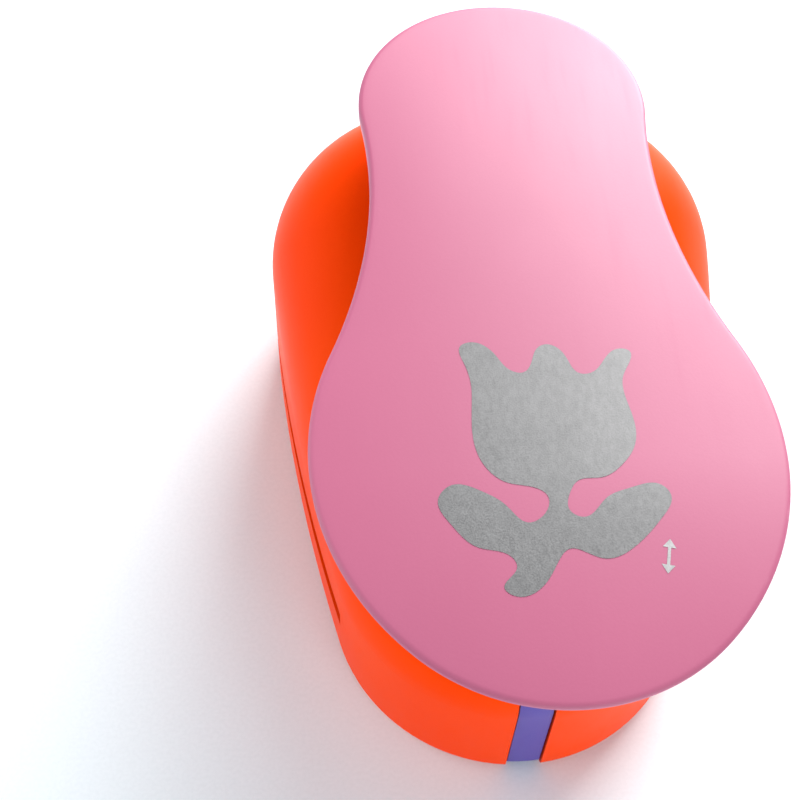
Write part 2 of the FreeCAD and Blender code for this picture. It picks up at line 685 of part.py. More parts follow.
def make_plunger():
    punch = slab("punch_solid", add_tulip, d.punch_bottom, d.holder_bottom - d.punch_bottom, 0)
    shanks = d.big_screw + d.screw_play
    punch_bores = [
        rod(f"punch_bore_{i}", shanks, 20.0, x, y, d.holder_bottom - 7.0)
        for i, (x, y) in enumerate(PUNCH_SCREWS)
    ]
    node(cut("punch", punch, *punch_bores), "punch")

    plate = slab("holder_oval", add_oval, d.holder_bottom, d.holder_thick, d.holder_inset)
    trim = box("holder_trim", WHOLE, (-d.holder_heel, d.holder_far), WHOLE)
    sliding = d.post_radius + d.running
    sleeves = [
        rod(f"holder_sleeve_{place}", sliding, 20.0, x, y, d.holder_bottom - 5.0)
        for place, (x, y) in POSTS.items()
    ]
    screw_bores = [
        rod(f"holder_bore_{i}", shanks, 20.0, x, y, d.holder_bottom - 5.0)
        for i, (x, y) in enumerate(PUNCH_SCREWS)
    ]
    blank = common("holder_blank", plate, trim)
    node(cut("punch_holder", blank, *sleeves, *screw_bores), "punch_holder")

    body = new_body("pusher")
    sketch = new_sketch(body, "pusher_plan", "XY_Plane", HOLDER_TOP)
    low = -d.boss_y - d.pusher_length / 2
    high = d.pusher_length / 2 - d.boss_y
    half = d.pusher_half
    add_polygon(sketch, [(-half, low), (half, low), (half, high), (-half, high)])
    pad = add_pad(body, sketch, d.pusher_height)
    doc.recompute()
    upright = [
        f"Edge{i}"
        for i, edge in enumerate(pad.Shape.Edges, start=1)
        if edge.BoundBox.ZLength > d.pusher_height.number - 0.1
    ]
    corners = body.newObject("PartDesign::Fillet", "pusher_corners")
    corners.Base = (pad, upright)
    corners.Radius = 2.5
    node(body, "pusher")

    wear_bottom = HOLDER_TOP + d.pusher_height
    wear = box(
        "wear_plate",
        (1 - half, half - 1),
        (low + 1, high - 1),
        (wear_bottom, wear_bottom + d.wear_thick),
    )
    node(wear, "wear_plate")


# ---------------------------------------------------------------- hinge and lever


def cheek(name, inner, thickness, radius, bottom, top, side):
    """An upright plate with a round end on the hinge axis, on one side of the punch."""
    start = inner if side > 0 else -inner - thickness
    edge = (start, start + thickness)
    low = d.hinge_y - radius
    plate = box(name + "_plate", edge, (low, low + radius * 2), (bottom, top))
    return fuse(name, plate, rod(name + "_round", radius, thickness, start, d.hinge_y, d.hinge_z, "X"))


def make_hinge():
    cheeks = [
        cheek(
            f"bracket_cheek_{side}", d.bracket_inner, d.bracket_thick, d.bracket_half,
            GUIDE_TOP, d.hinge_z, side,
        )
        for side in (-1, 1)
    ]
    reach = d.bracket_inner + d.bracket_thick
    base = box(
        "bracket_base",
        (-reach, reach),
        (d.hinge_y - d.bracket_half, d.hinge_y + d.bracket_half),
        (GUIDE_TOP, GUIDE_TOP + d.bracket_base),
    )
    pin_bore = rod(
        "bracket_pin_bore", d.pin_radius + d.screw_play, EVERYWHERE, -EVERYWHERE / 2,
        d.hinge_y, d.hinge_z, "X",
    )
    play = d.big_screw + d.screw_play
    bores = [
        rod(f"bracket_bore_{i}", play, 10.0, x, y, GUIDE_TOP - 2)
        for i, (x, y) in enumerate(BRACKET_SCREWS)
    ]
    bracket = cut("hinge_bracket", fuse("bracket_solid", base, *cheeks), pin_bore, *bores)
    node(bracket, "hinge_bracket")
    pin = rod("hinge_pin", d.pin_radius, d.pin_half * 2, -d.pin_half, d.hinge_y, d.hinge_z, "X")
    node(pin, "hinge_pin")

    clips = []
    for side, start in ((-1, -reach - d.clip_thick - 0.1), (1, reach + 0.1)):
        name = f"clip_{side}"
        disc = rod(f"{name}_disc", d.clip_radius, d.clip_thick, start, d.hinge_y, d.hinge_z, "X")
        bore = rod(f"{name}_bore", d.pin_radius, 4.0, start - 1, d.hinge_y, d.hinge_z, "X")
        clips.append(cut(name, disc, bore))
    node(fuse("pin_clips", *clips), "pin_clips")


def make_lever():
    body = new_body("lever_plate")
    sketch = new_sketch(body, "lever_outline", "XY_Plane", d.lever_bottom)
    add_lever_outline(sketch)
    pad = add_pad(body, sketch, d.lever_thick)
    middle = d.lever_bottom.number + d.lever_thick.number / 2
    rounded = add_fillet(body, pad, d.lever_top_round, middle)
    add_fillet(body, rounded, d.lever_low_round, middle, below=True)
    lever_top = d.lever_bottom + d.lever_thick
    dish = doc.addObject("Part::Sphere", "pad_dish")
    bind(dish, "Radius", d.dish_radius)
    move(dish, 0.0, -d.dish_y, lever_top - d.dish_depth + d.dish_radius)
    ears = [
        cheek(
            f"ear_{side}", d.ear_inner, d.ear_thick, d.ear_radius,
            d.hinge_z, d.lever_bottom + 1, side,
        )
        for side in (-1, 1)
    ]
    nose = rod("boss_nose", d.boss_radius, d.boss_half * 2, -d.boss_half, -d.boss_y, d.hinge_z, "X")
    web = box(
        "boss_web",
        (-d.boss_half, d.boss_half),
        (-d.boss_y - d.boss_radius, d.boss_radius - d.boss_y),
        (d.hinge_z, d.lever_bottom + 1),
    )
    pin_bore = rod(
        "ear_bore", d.pin_radius + d.running, EVERYWHERE, -EVERYWHERE / 2, d.hinge_y, d.hinge_z, "X"
    )
    solid = fuse("lever_solid", cut("dished_plate", body, dish), *ears, nose, web)
    node(cut("lever", solid, pin_bore), "lever")


# ---------------------------------------------------------------- build, check and write

make_shells()
make_shell_screws()
make_inner_frame()
make_die_stack()
for place, (post_x, post_y) in POSTS.items():
    make_guide_post(place, post_x, post_y)
    make_return_spring(place, post_x, post_y)
make_plunger()
make_hinge()
make_lever()
screw_group("base_screws", BASE_SCREWS, DIE_TOP - 0.5, d.frame_floor, head_up=False)
screw_group("die_screws", DIE_SCREWS, d.die_bottom + 0.5, GUIDE_TOP)
screw_group("bracket_screws", BRACKET_SCREWS, GUIDE_BOTTOM + 0.5, GUIDE_TOP + d.bracket_base)
screw_group("punch_screws", PUNCH_SCREWS, d.holder_bottom - 6.5, HOLDER_TOP)

doc.recompute()
for thing in doc.Objects:
    if "Invalid" in thing.State or "Error" in thing.State:
        raise RuntimeError(f"{thing.Label} failed: {thing.State}")

os.makedirs("parts", exist_ok=True)
for thing in NODES:
    shape = thing.Shape
    if shape.isNull() or not shape.isValid() or shape.Volume <= 0:
        raise RuntimeError(f"{thing.Label} is not a valid solid")
    shape.exportStep(f"parts/{thing.Label}.step")
    bounds = shape.BoundBox
    print(
        f"{thing.Label:28s} solids {len(shape.Solids):2d}  {shape.Volume:10.1f} mm3"
        f"  x {bounds.XMin:7.2f} {bounds.XMax:7.2f}  y {bounds.YMin:7.2f} {bounds.YMax:7.2f}"
        f"  z {bounds.ZMin:6.2f} {bounds.ZMax:6.2f}"
    )
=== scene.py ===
# %% [markdown]
# A lever-type craft punch for paper. An orange two-shell casing holds the die, a wide pink lever lies
# over it, a violet inner frame shows as a strip on the heel, and a silver tulip on the lever says
# which shape it cuts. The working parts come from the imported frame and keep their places. This
# lesson gives them their finishes, and builds again, more finely, what the eye rests on: the lever,
# its print and the return springs.

# %% Load the working parts
import json
import math

import bmesh
import bpy
from mathutils import Matrix, Vector


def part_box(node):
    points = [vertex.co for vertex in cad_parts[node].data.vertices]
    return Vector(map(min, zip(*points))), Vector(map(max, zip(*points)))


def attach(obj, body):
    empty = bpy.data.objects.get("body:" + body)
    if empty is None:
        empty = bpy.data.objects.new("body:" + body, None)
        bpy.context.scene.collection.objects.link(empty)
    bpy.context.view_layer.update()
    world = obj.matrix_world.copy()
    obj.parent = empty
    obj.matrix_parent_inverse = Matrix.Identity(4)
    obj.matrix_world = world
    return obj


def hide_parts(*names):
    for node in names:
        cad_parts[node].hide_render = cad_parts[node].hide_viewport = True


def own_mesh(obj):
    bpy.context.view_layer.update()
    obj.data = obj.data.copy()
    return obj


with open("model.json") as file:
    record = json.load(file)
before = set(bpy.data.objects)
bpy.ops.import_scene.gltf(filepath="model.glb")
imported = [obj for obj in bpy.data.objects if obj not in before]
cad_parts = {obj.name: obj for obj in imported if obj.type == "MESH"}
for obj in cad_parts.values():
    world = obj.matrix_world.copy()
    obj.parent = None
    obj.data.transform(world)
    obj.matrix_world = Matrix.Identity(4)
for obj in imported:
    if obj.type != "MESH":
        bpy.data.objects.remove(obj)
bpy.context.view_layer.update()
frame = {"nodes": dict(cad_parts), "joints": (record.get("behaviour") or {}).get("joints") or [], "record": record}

MM = 0.001
nodes = frame["nodes"]
record = frame["record"]

# %% [markdown]
# Every moulded or metal finish here is built from the same few steps: a base colour that drifts a
# little, a roughness that drifts with it, and a fine bump. Small helpers keep each recipe short. All
# the textures read the object's own coordinates, so a piece keeps its grain when it moves.

# %% Helpers for the finishes


def new_finish(name, metallic=0.0, ior=1.5):
    """An empty finish with its principled shader; returns the material, nodes, links, shader."""
    finish = bpy.data.materials.new(name)
    finish.use_nodes = True
    tree = finish.node_tree
    shader = tree.nodes["Principled BSDF"]
    shader.inputs["Metallic"].default_value = metallic
    shader.inputs["IOR"].default_value = ior
    return finish, tree, shader


def noise(tree, per_metre, detail=4.0, stretch=(1, 1, 1)):
    """A noise texture with a number of blotches to the metre, stretched along an axis."""
    place = tree.nodes.new("ShaderNodeTexCoord")
    mapping = tree.nodes.new("ShaderNodeMapping")
    mapping.inputs["Scale"].default_value = stretch
    texture = tree.nodes.new("ShaderNodeTexNoise")
    texture.inputs["Scale"].default_value = per_metre
    texture.inputs["Detail"].default_value = detail
    tree.links.new(place.outputs["Object"], mapping.inputs["Vector"])
    tree.links.new(mapping.outputs["Vector"], texture.inputs["Vector"])
    return texture.outputs["Fac"]


def ramp(tree, value, low, high, start=0.35, end=0.65):
    """A colour ramp between two colours (or two greys, given as numbers)."""
    picker = tree.nodes.new("ShaderNodeValToRGB")
    picker.color_ramp.elements[0].position = start
    picker.color_ramp.elements[1].position = end
    for element, colour in zip(picker.color_ramp.elements, (low, high)):
        grey = isinstance(colour, float)
        element.color = (colour, colour, colour, 1) if grey else (*colour, 1)
    tree.links.new(value, picker.inputs["Fac"])
    return picker.outputs["Color"]


def mix(tree, factor, first, second, blend="MIX"):
    """Mixes two colours by a factor, each an output or a constant."""
    mixer = tree.nodes.new("ShaderNodeMix")
    mixer.data_type = "RGBA"
    mixer.blend_type = blend
    for socket, value in ((0, factor), (6, first), (7, second)):
        if isinstance(value, bpy.types.NodeSocket):
            tree.links.new(value, mixer.inputs[socket])
        else:
            mixer.inputs[socket].default_value = value if socket == 0 else (*value, 1)
    return mixer.outputs[2]


def bump(tree, shader, value, height, strength=1.0):
    """Gives the shader a fine relief of a height in metres."""
    relief = tree.nodes.new("ShaderNodeBump")
    relief.inputs["Distance"].default_value = height
    relief.inputs["Strength"].default_value = strength
    tree.links.new(value, relief.inputs["Height"])
    tree.links.new(relief.outputs["Normal"], shader.inputs["Normal"])


print("helpers ready")

# %% [markdown]
# The casing and the lever are glossy moulded plastic. It could be one flat colour with a gloss, but
# a real moulding drifts slightly in tone, has a faint orange-peel skin, fine rubbing marks that
# dull the gloss, and paler edges where fingers and tables have rubbed it. Each of those is one
# noise or one edge mask here.

# %% Moulded plastic
PEEL = 0.004 * MM


def moulded_plastic(name, deep, light, gloss, worn=0.1, specular=0.5, tint=(1, 1, 1)):
    """Glossy plastic with a drift of tone, fine speckle, rubbed edges and faint scuffs."""
    finish, tree, shader = new_finish(name, ior=1.49)
    shader.inputs["Specular IOR Level"].default_value = specular
    shader.inputs["Specular Tint"].default_value = (*tint, 1)
    drift = ramp(tree, noise(tree, 22, 2.0), deep, light, 0.25, 0.75)
    speckle = noise(tree, 2600, 2.0)
    toned = mix(tree, 0.10, drift, ramp(tree, speckle, deep, light, 0.4, 0.6))
    edges = tree.nodes.new("ShaderNodeNewGeometry").outputs["Pointiness"]
    rubbed = ramp(tree, edges, 0.0, 1.0, 0.53, 0.62)
    patchy = mix(tree, 1.0, rubbed, ramp(tree, noise(tree, 160), 0.0, 1.0), "MULTIPLY")
    paler = tuple(min(1.0, c * 0.7 + 0.3) for c in light)
    strength = tree.nodes.new("ShaderNodeMath")
    strength.operation = "MULTIPLY"
    strength.inputs[1].default_value = worn
    tree.links.new(patchy, strength.inputs[0])
    tree.links.new(mix(tree, strength.outputs[0], toned, paler), shader.inputs["Base Color"])
    smears = noise(tree, 55, 5.0, (1.0, 0.25, 1.0))
    scuffs = noise(tree, 900, 3.0, (1.0, 0.06, 0.3))
    smeared = ramp(tree, smears, gloss, gloss + 0.06)
    scuffed = ramp(tree, scuffs, gloss, gloss + 0.12, 0.55, 0.75)
    tree.links.new(mix(tree, 0.25, smeared, scuffed), shader.inputs["Roughness"])
    waves = ramp(tree, noise(tree, 420, 2.0), 0.0, 1.0, 0.2, 0.8)
    bump(tree, shader, mix(tree, 0.6, waves, ramp(tree, speckle, 0.0, 1.0)), PEEL)
    return finish


casing_orange = moulded_plastic(
    "casing_orange", (0.96, 0.048, 0.0), (1.0, 0.068, 0.0), 0.38, worn=0.02, specular=0.05,
    tint=(1.0, 0.35, 0.08),
)
lever_pink = moulded_plastic(
    "lever_pink", (0.44, 0.098, 0.190), (0.49, 0.113, 0.214), 0.44, worn=0.2, specular=0.7,
)
frame_violet = moulded_plastic("frame_violet", (0.065, 0.04, 0.32), (0.085, 0.052, 0.36), 0.34, worn=0.1)
print("plastics:", casing_orange.name, lever_pink.name, frame_violet.name)

# %% [markdown]
# The metals inside are of two kinds. The die, the guide block and the holder are cast and then
# ground flat, so fine parallel grinding lines run along them. Pins, posts, springs and screws are
# drawn or turned and plated, so they are smoother and catch light in small spots.

# %% Metals


def ground_metal(name, dark, bright, rough):
    """Flat metal with fine parallel grinding lines and faint stains."""
    finish, tree, shader = new_finish(name, metallic=1.0)
    lines = noise(tree, 1400, 3.0, (1.0, 0.03, 1.0))
    stains = noise(tree, 70, 5.0)
    tone = mix(tree, 0.4, ramp(tree, stains, dark, bright), ramp(tree, lines, dark, bright))
    tree.links.new(tone, shader.inputs["Base Color"])
    ground = ramp(tree, lines, rough, rough + 0.2)
    stained = ramp(tree, stains, rough, rough + 0.15)
    tree.links.new(mix(tree, 0.5, ground, stained), shader.inputs["Roughness"])
    bump(tree, shader, lines, 0.01 * MM)
    return finish


def plated_metal(name, dark, bright, rough):
    """Turned or drawn metal, plated, with faint rings."""
    finish, tree, shader = new_finish(name, metallic=1.0)
    mottle = noise(tree, 500, 4.0)
    rings = noise(tree, 2500, 2.0, (0.05, 0.05, 1.0))
    tone = mix(tree, 0.3, ramp(tree, mottle, dark, bright), ramp(tree, rings, dark, bright))
    tree.links.new(tone, shader.inputs["Base Color"])
    tree.links.new(ramp(tree, mottle, rough, rough + 0.15), shader.inputs["Roughness"])
    bump(tree, shader, rings, 0.006 * MM)
    return finish


finishes = {
    "casing": casing_orange,
    "lever": lever_pink,
    "frame": frame_violet,
    "die_metal": ground_metal("die_metal", (0.38, 0.38, 0.39), (0.52, 0.52, 0.53), 0.30),
    "punch_steel": ground_metal("punch_steel", (0.50, 0.50, 0.51), (0.66, 0.66, 0.67), 0.20),
    "pin_steel": plated_metal("pin_steel", (0.55, 0.55, 0.56), (0.70, 0.70, 0.71), 0.16),
    "spring_steel": plated_metal("spring_steel", (0.42, 0.42, 0.44), (0.58, 0.58, 0.60), 0.24),
    "screw_steel": plated_metal("screw_steel", (0.52, 0.53, 0.50), (0.68, 0.68, 0.64), 0.26),
}
print(len(finishes), "finishes so far")

# %% [markdown]
# Each working part says in the record which finish it takes. The parts keep their meshes; only
# their material slots change.

# %% Finish the working parts
for part in record["subparts"]:
    mesh = nodes[part["node"]].data
    mesh.materials.clear()
    mesh.materials.append(finishes[part["material_slot"]])
print("finished", len(record["subparts"]), "parts")

# %% [markdown]
# The lever is the piece that is seen most. From above it is a wide round pad that narrows through a
# hollow waist to a smaller round end, all of it arcs that run into each other. A spline could be
# bent to that, but arcs give a cleaner edge, so the outline is worked out from the same few radii
# that a mould maker would use. Only its right half is needed, because the left half mirrors it.

# %% The lever's outline
lever_low, lever_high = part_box("lever")
HALF_LENGTH = lever_high.y
HALF_WIDTH = lever_high.x
PAD_END = 31 * MM
PAD_SIDE = 42 * MM
WAIST = 84 * MM
NARROW_END = 24.1 * MM
STEP = 1.1 * MM


def arc_points(centre, radius, start, end, hollow=False):
    """Points along an arc with their outward directions, both ends included."""
    count = max(3, round(abs(end - start) * radius / STEP))
    points = []
    for i in range(count + 1):
        angle = start + (end - start) * i / count
        out = Vector((math.cos(angle), math.sin(angle)))
        points.append((Vector(centre) + out * radius, -out if hollow else out))
    return points


def lever_half_outline():
    """Right half of the outline, from the pad's end round to the narrow end."""
    end_y = PAD_END - HALF_LENGTH
    tail_y = HALF_LENGTH - NARROW_END
    side_x = HALF_WIDTH - PAD_SIDE
    turn = math.acos(-side_x / (PAD_SIDE - PAD_END))
    side_y = end_y + (PAD_SIDE - PAD_END) * math.sin(turn)
    reach = math.hypot(side_x, tail_y - side_y)
    near, far = PAD_SIDE + WAIST, NARROW_END + WAIST
    along = (near**2 - far**2 + reach**2) / (2 * reach)
    out = math.sqrt(near**2 - along**2)
    forward = Vector((-side_x, tail_y - side_y)) / reach
    waist = Vector((side_x, side_y)) + forward * along + Vector((forward.y, -forward.x)) * out
    to_waist = math.atan2(waist.y - side_y, waist.x - side_x)
    from_tail = math.atan2(waist.y - tail_y, waist.x)
    half_turn = math.pi
    runs = [
        arc_points((0, end_y), PAD_END, -half_turn / 2, -turn),
        arc_points((side_x, side_y), PAD_SIDE, -turn, to_waist),
        arc_points(waist, WAIST, to_waist + half_turn, from_tail + half_turn, hollow=True),
        arc_points((0, tail_y), NARROW_END, from_tail, half_turn / 2),
    ]
    outline = runs[0]
    for run in runs[1:]:
        outline += run[1:]
    return outline


half_outline = lever_half_outline()
print("half outline:", len(half_outline), "points")

# %% [markdown]
# The lever's section has a small round at the top and the bottom of an upright rim. Its upper face is
# crowned, and the pad has a very shallow dish for the hand. The surface height is a formula, so the
# print can be laid on it later and fit exactly.

# %% The lever's surface
LEVER_TOP = lever_high.z
PLATE = 4.0 * MM
TOP_ROUND = 0.9 * MM
LOW_ROUND = 1.0 * MM
DISH_DEPTH = 0.3 * MM
DISH_REACH = 37 * MM
DISH_Y = -29 * MM
CROWN = 2.2 * MM
DROOP = 2.0 * MM
DROOP_FROM = 15 * MM


def lever_top(x, y):
    """Height of the upper face: crowned, dished in the pad, drooping at the narrow end."""
    away = math.hypot(x, (y - DISH_Y) * 0.92) / DISH_REACH
    dish = DISH_DEPTH * (1 - away**2) ** 2 if away < 1 else 0.0
    towards_heel = min(0.0, y - DISH_Y)
    crown = CROWN * (x**2 + towards_heel**2) / HALF_WIDTH**2
    droop = DROOP * (max(0.0, y - DROOP_FROM) / (HALF_LENGTH - DROOP_FROM)) ** 2
    return LEVER_TOP - dish - crown * (1 - droop / CROWN) - droop


print("the crown drops", round(CROWN / MM, 1), "mm to the edge of the pad")

# %% [markdown]
# The plate is built as rings that follow the outline: up the outside, over the round edge and in
# onto the top, and underneath round the low edge to the step of the hollow underside. Inside the
# last ring, straight rows join the right side to the left. That gives even four-sided faces, which
# take a smooth shade well. A box with its edges bevelled could not follow the hollow waist as
# evenly.

# %% Build the lever plate
RIM_WALL = 2.6 * MM
HOLLOW = 1.0 * MM
ROWS_ACROSS = 36


def edge_sections():
    """The rim's section as (inset, height above the underside), from the hollow to the top."""
    section = [(RIM_WALL + 0.3 * MM, HOLLOW), (RIM_WALL, HOLLOW - 0.3 * MM), (RIM_WALL, 0.3 * MM)]
    section += [(RIM_WALL - 0.3 * MM, 0.0), (LOW_ROUND + 0.2 * MM, 0.0)]
    for i in range(7):
        angle = math.pi / 2 * i / 6
        section.append((LOW_ROUND * (1 - math.sin(angle)), LOW_ROUND * (1 - math.cos(angle))))
    for i in range(11):
        angle = math.pi / 2 * i / 10
        height = PLATE - TOP_ROUND * (1 - math.sin(angle))
        section.append((TOP_ROUND * (1 - math.cos(angle)), height))
    return section


def mesh_piece(name, mesh, finish, body, smooth=True):
    """Turns a bmesh into a finished piece that rides on a body."""
    data = bpy.data.meshes.new(name)
    bmesh.ops.recalc_face_normals(mesh, faces=mesh.faces)
    mesh.to_mesh(data)
    mesh.free()
    for face in data.polygons:
        face.use_smooth = smooth
    piece = bpy.data.objects.new(name, data)
    bpy.context.scene.collection.objects.link(piece)
    data.materials.append(finish)
    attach(piece, body)
    return piece


def build_lever_plate():
    """The plate: rings up the rim, then rows across the top and the hollow underside."""
    mesh = bmesh.new()
    underside = LEVER_TOP - PLATE
    last = len(half_outline) - 1
    whole = [(i, 1) for i in range(last + 1)] + [(i, -1) for i in range(last - 1, 0, -1)]

    def ring(inset, height, on_top):
        made = []
        for i, side in whole:
            point, out = half_outline[i]
            spot = point - out * inset
            level = underside + height
            if on_top:
                share = height / PLATE
                level -= (LEVER_TOP - lever_top(spot.x, spot.y)) * share
            made.append(mesh.verts.new((spot.x * side, spot.y, level)))
        return made

    def bridge(first, second):
        count = len(first)
        for i in range(count):
            j = (i + 1) % count
            mesh.faces.new((first[i], first[j], second[j], second[i]))

    def fill(edge, height_at):
        rows = [[edge[0]]]
        for i in range(1, last):
            right, left = edge[i], edge[-i]
            row = [right]
            for k in range(1, ROWS_ACROSS):
                x = right.co.x * (1 - 2 * k / ROWS_ACROSS)
                row.append(mesh.verts.new((x, right.co.y, height_at(x, right.co.y))))
            rows.append(row + [left])
        rows.append([edge[last]])
        for lower, upper in zip(rows, rows[1:]):
            for k in range(ROWS_ACROSS):
                corners = []
                for row, place in ((lower, k), (lower, k + 1), (upper, k + 1), (upper, k)):
                    vertex = row[min(place, len(row) - 1)]
                    if vertex not in corners:
                        corners.append(vertex)
                mesh.faces.new(corners)

    rings = []
    for inset, height in edge_sections():
        rings.append(ring(inset, height, height > PLATE / 2))
    for first, second in zip(rings, rings[1:]):
        bridge(first, second)
    inner = ring(TOP_ROUND + 0.8 * MM, PLATE, True)
    bridge(rings[-1], inner)
    fill(inner, lever_top)
    fill(rings[0], lambda x, y: underside + HOLLOW)
    return mesh_piece("lever_plate", mesh, finishes["lever"], "lever")


lever_plate = build_lever_plate()
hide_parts("lever")
print("lever plate:", len(lever_plate.data.polygons), "faces")

# %% [markdown]
# Under the plate two ears carry the hinge pin, and a round-nosed boss presses on the plunger. They
# are moulded with the lever, so they widen where they meet it. Each is a side outline given a
# thickness, with a fine bevel on its edges.

# %% Ears, boss and ribs under the lever
hinge = next(j for j in frame["joints"] if j["name"] == "lever_hinge")
HINGE = Vector(hinge["pos_m"])
EAR_INNER = 8 * MM
EAR_OUTER = 12 * MM
EAR_ROUND = 4.5 * MM
BOSS_HALF = 9 * MM
BOSS_ROUND = 3 * MM
BOSS_Y = -2 * MM
FLARE = 2.2 * MM


def upright(name, centre_y, radius, inner, outer):
    """A round-ended web that hangs from the plate and widens towards it."""
    top = LEVER_TOP - PLATE + HOLLOW
    side = [(centre_y + radius * math.cos(a), HINGE.z + radius * math.sin(a))
            for a in [math.pi + math.pi * i / 16 for i in range(17)]]
    for i in range(9):
        share = i / 8
        widen = FLARE * share**3
        side.append((centre_y + radius + widen, HINGE.z + (top - HINGE.z) * (0.6 + 0.4 * share)))
    for i in range(9):
        share = 1 - i / 8
        widen = FLARE * share**3
        side.append((centre_y - radius - widen, HINGE.z + (top - HINGE.z) * (0.6 + 0.4 * share)))
    mesh = bmesh.new()
    near = [mesh.verts.new((inner, y, z)) for y, z in side]
    far = [mesh.verts.new((outer, y, z)) for y, z in side]
    count = len(side)
    mesh.faces.new(near)
    mesh.faces.new(far)
    for i in range(count):
        j = (i + 1) % count
        mesh.faces.new((near[i], near[j], far[j], far[i]))
    piece = mesh_piece(name, mesh, finishes["lever"], "lever", smooth=False)
    rounding = piece.modifiers.new("soft_edges", "BEVEL")
    rounding.width = 0.45 * MM
    rounding.segments = 3
    rounding.limit_method = "ANGLE"
    rounding.angle_limit = math.radians(50)
    rounding.harden_normals = True
    for face in piece.data.polygons:
        face.use_smooth = True
    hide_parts("lever")
    return piece


upright("lever_ear_left", HINGE.y, EAR_ROUND, -EAR_OUTER, -EAR_INNER)
upright("lever_ear_right", HINGE.y, EAR_ROUND, EAR_INNER, EAR_OUTER)
upright("lever_boss", BOSS_Y, BOSS_ROUND, -BOSS_HALF, BOSS_HALF)


def build_ribs():
    """Low stiffening ribs across and along the hollow underside."""
    mesh = bmesh.new()
    bottom = LEVER_TOP - PLATE + 0.4 * MM
    top = LEVER_TOP - PLATE + HOLLOW + 0.2 * MM
    across = [(-48, 22), (-32, 29), (-16, 28), (16, 20), (50, 16)]
    bars = [(0, y * MM, half * MM, 0.7 * MM) for y, half in across]
    bars += [(x * MM, -20 * MM, 0.7 * MM, 28 * MM) for x in (-14, 0, 14)]
    for x, y, half_x, half_y in bars:
        made = bmesh.ops.create_cube(mesh, size=1.0)["verts"]
        for vertex in made:
            vertex.co.x = x + vertex.co.x * 2 * half_x
            vertex.co.y = y + vertex.co.y * 2 * half_y
            vertex.co.z = bottom + (vertex.co.z + 0.5) * (top - bottom)
    piece = mesh_piece("lever_ribs", mesh, finishes["lever"], "lever", smooth=False)
    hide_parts("lever")
    return piece


build_ribs()
print("ears, boss and ribs hang under the plate")

# %% [markdown]
# The silver tulip on the pad shows the shape that the punch cuts. It is modelled as hot-foil print:
# a film thinner than a hair, with a fine metallic grain. A texture could draw it, but a film of its
# own keeps a crisp edge in every view. Its outline is read from the cutting edge of the punch
# itself, so print and cut match.

# %% Read the cutting edge of the punch


def cutting_edge():
    """The punch's lower outline as a closed list of points."""
    mesh = bmesh.new()
    mesh.from_mesh(nodes["punch"].data)
    bmesh.ops.remove_doubles(mesh, verts=mesh.verts, dist=0.001 * MM)
    level = min(v.co.z for v in mesh.verts) + 0.01 * MM
    face_down = {f for f in mesh.faces if all(v.co.z < level for v in f.verts)}
    rim = [e for e in mesh.edges if len([f for f in e.link_faces if f in face_down]) == 1]
    rim = [e for e in rim if all(v.co.z < level for v in e.verts)]
    following = {}
    for edge in rim:
        for a, b in (edge.verts, reversed(edge.verts)):
            following.setdefault(a, []).append(b)
    start = rim[0].verts[0]
    points, last, here = [], None, start
    while True:
        points.append(here.co.xy.copy())
        onward = [v for v in following[here] if v is not last]
        last, here = here, onward[0]
        if here is start:
            break
    mesh.free()
    return points


def evened(points, spacing):
    """The closed line again, with points at even distances."""
    closed = points + [points[0]]
    lengths = [0.0]
    for a, b in zip(closed, closed[1:]):
        lengths.append(lengths[-1] + (b - a).length)
    count = round(lengths[-1] / spacing)
    out, k = [], 0
    for i in range(count):
        goal = lengths[-1] * i / count
        while lengths[k + 1] < goal:
            k += 1
        share = (goal - lengths[k]) / (lengths[k + 1] - lengths[k])
        out.append(closed[k].lerp(closed[k + 1], share))
    for _ in range(1):
        out = [(out[i - 1] + out[i] * 2 + out[(i + 1) % count]) / 4 for i in range(count)]
    return out


edge_points = evened(cutting_edge(), 0.5 * MM)
print("cutting edge:", len(edge_points), "points")

# %% [markdown]
# The foil's finish is a dull grey metallic one. A fine grain in the colour and the relief gives the
# sparkle of pressed foil, and a few longer strokes and worn patches keep it from looking painted.

# %% Silver foil


def silver_foil(name, tones, metallic=0.45):
    """Dull foil; tones are the dark and the light grey of its grain."""
    dark, light = tones
    near_dark, near_light = dark + (light - dark) * 0.3, light - (light - dark) * 0.2
    finish, tree, shader = new_finish(name, metallic=metallic)
    grain = noise(tree, 4200, 2.0)
    strokes = noise(tree, 1300, 3.0, (1.0, 0.45, 1.0))
    worn = noise(tree, 90, 4.0)
    grained = ramp(tree, grain, dark, light, 0.3, 0.7)
    stroked = ramp(tree, strokes, near_dark, near_light)
    rubbed = ramp(tree, worn, near_dark, near_light)
    tone = mix(tree, 0.25, mix(tree, 0.5, grained, stroked), rubbed)
    tree.links.new(tone, shader.inputs["Base Color"])
    tree.links.new(ramp(tree, grain, 0.40, 0.55), shader.inputs["Roughness"])
    bump(tree, shader, grain, 0.02 * MM, 0.6)
    return finish


finishes["print_silver"] = silver_foil("silver_foil", (0.13, 0.26))
finishes["worn_silver"] = silver_foil("worn_silver_foil", (0.30, 0.50), metallic=0.2)
print("foil ready")

# %% [markdown]
# The film is a flat face cut into small squares, so that it can follow the dish, then raised onto
# the lever's surface by a few hundredths of a millimetre.

# %% Lay the print on the pad
PRINT_WIDE = 0.84
PRINT_LONG = 0.803
PRINT_AT = Vector((-0.5, -29.0)) * MM
FILM = 0.04 * MM


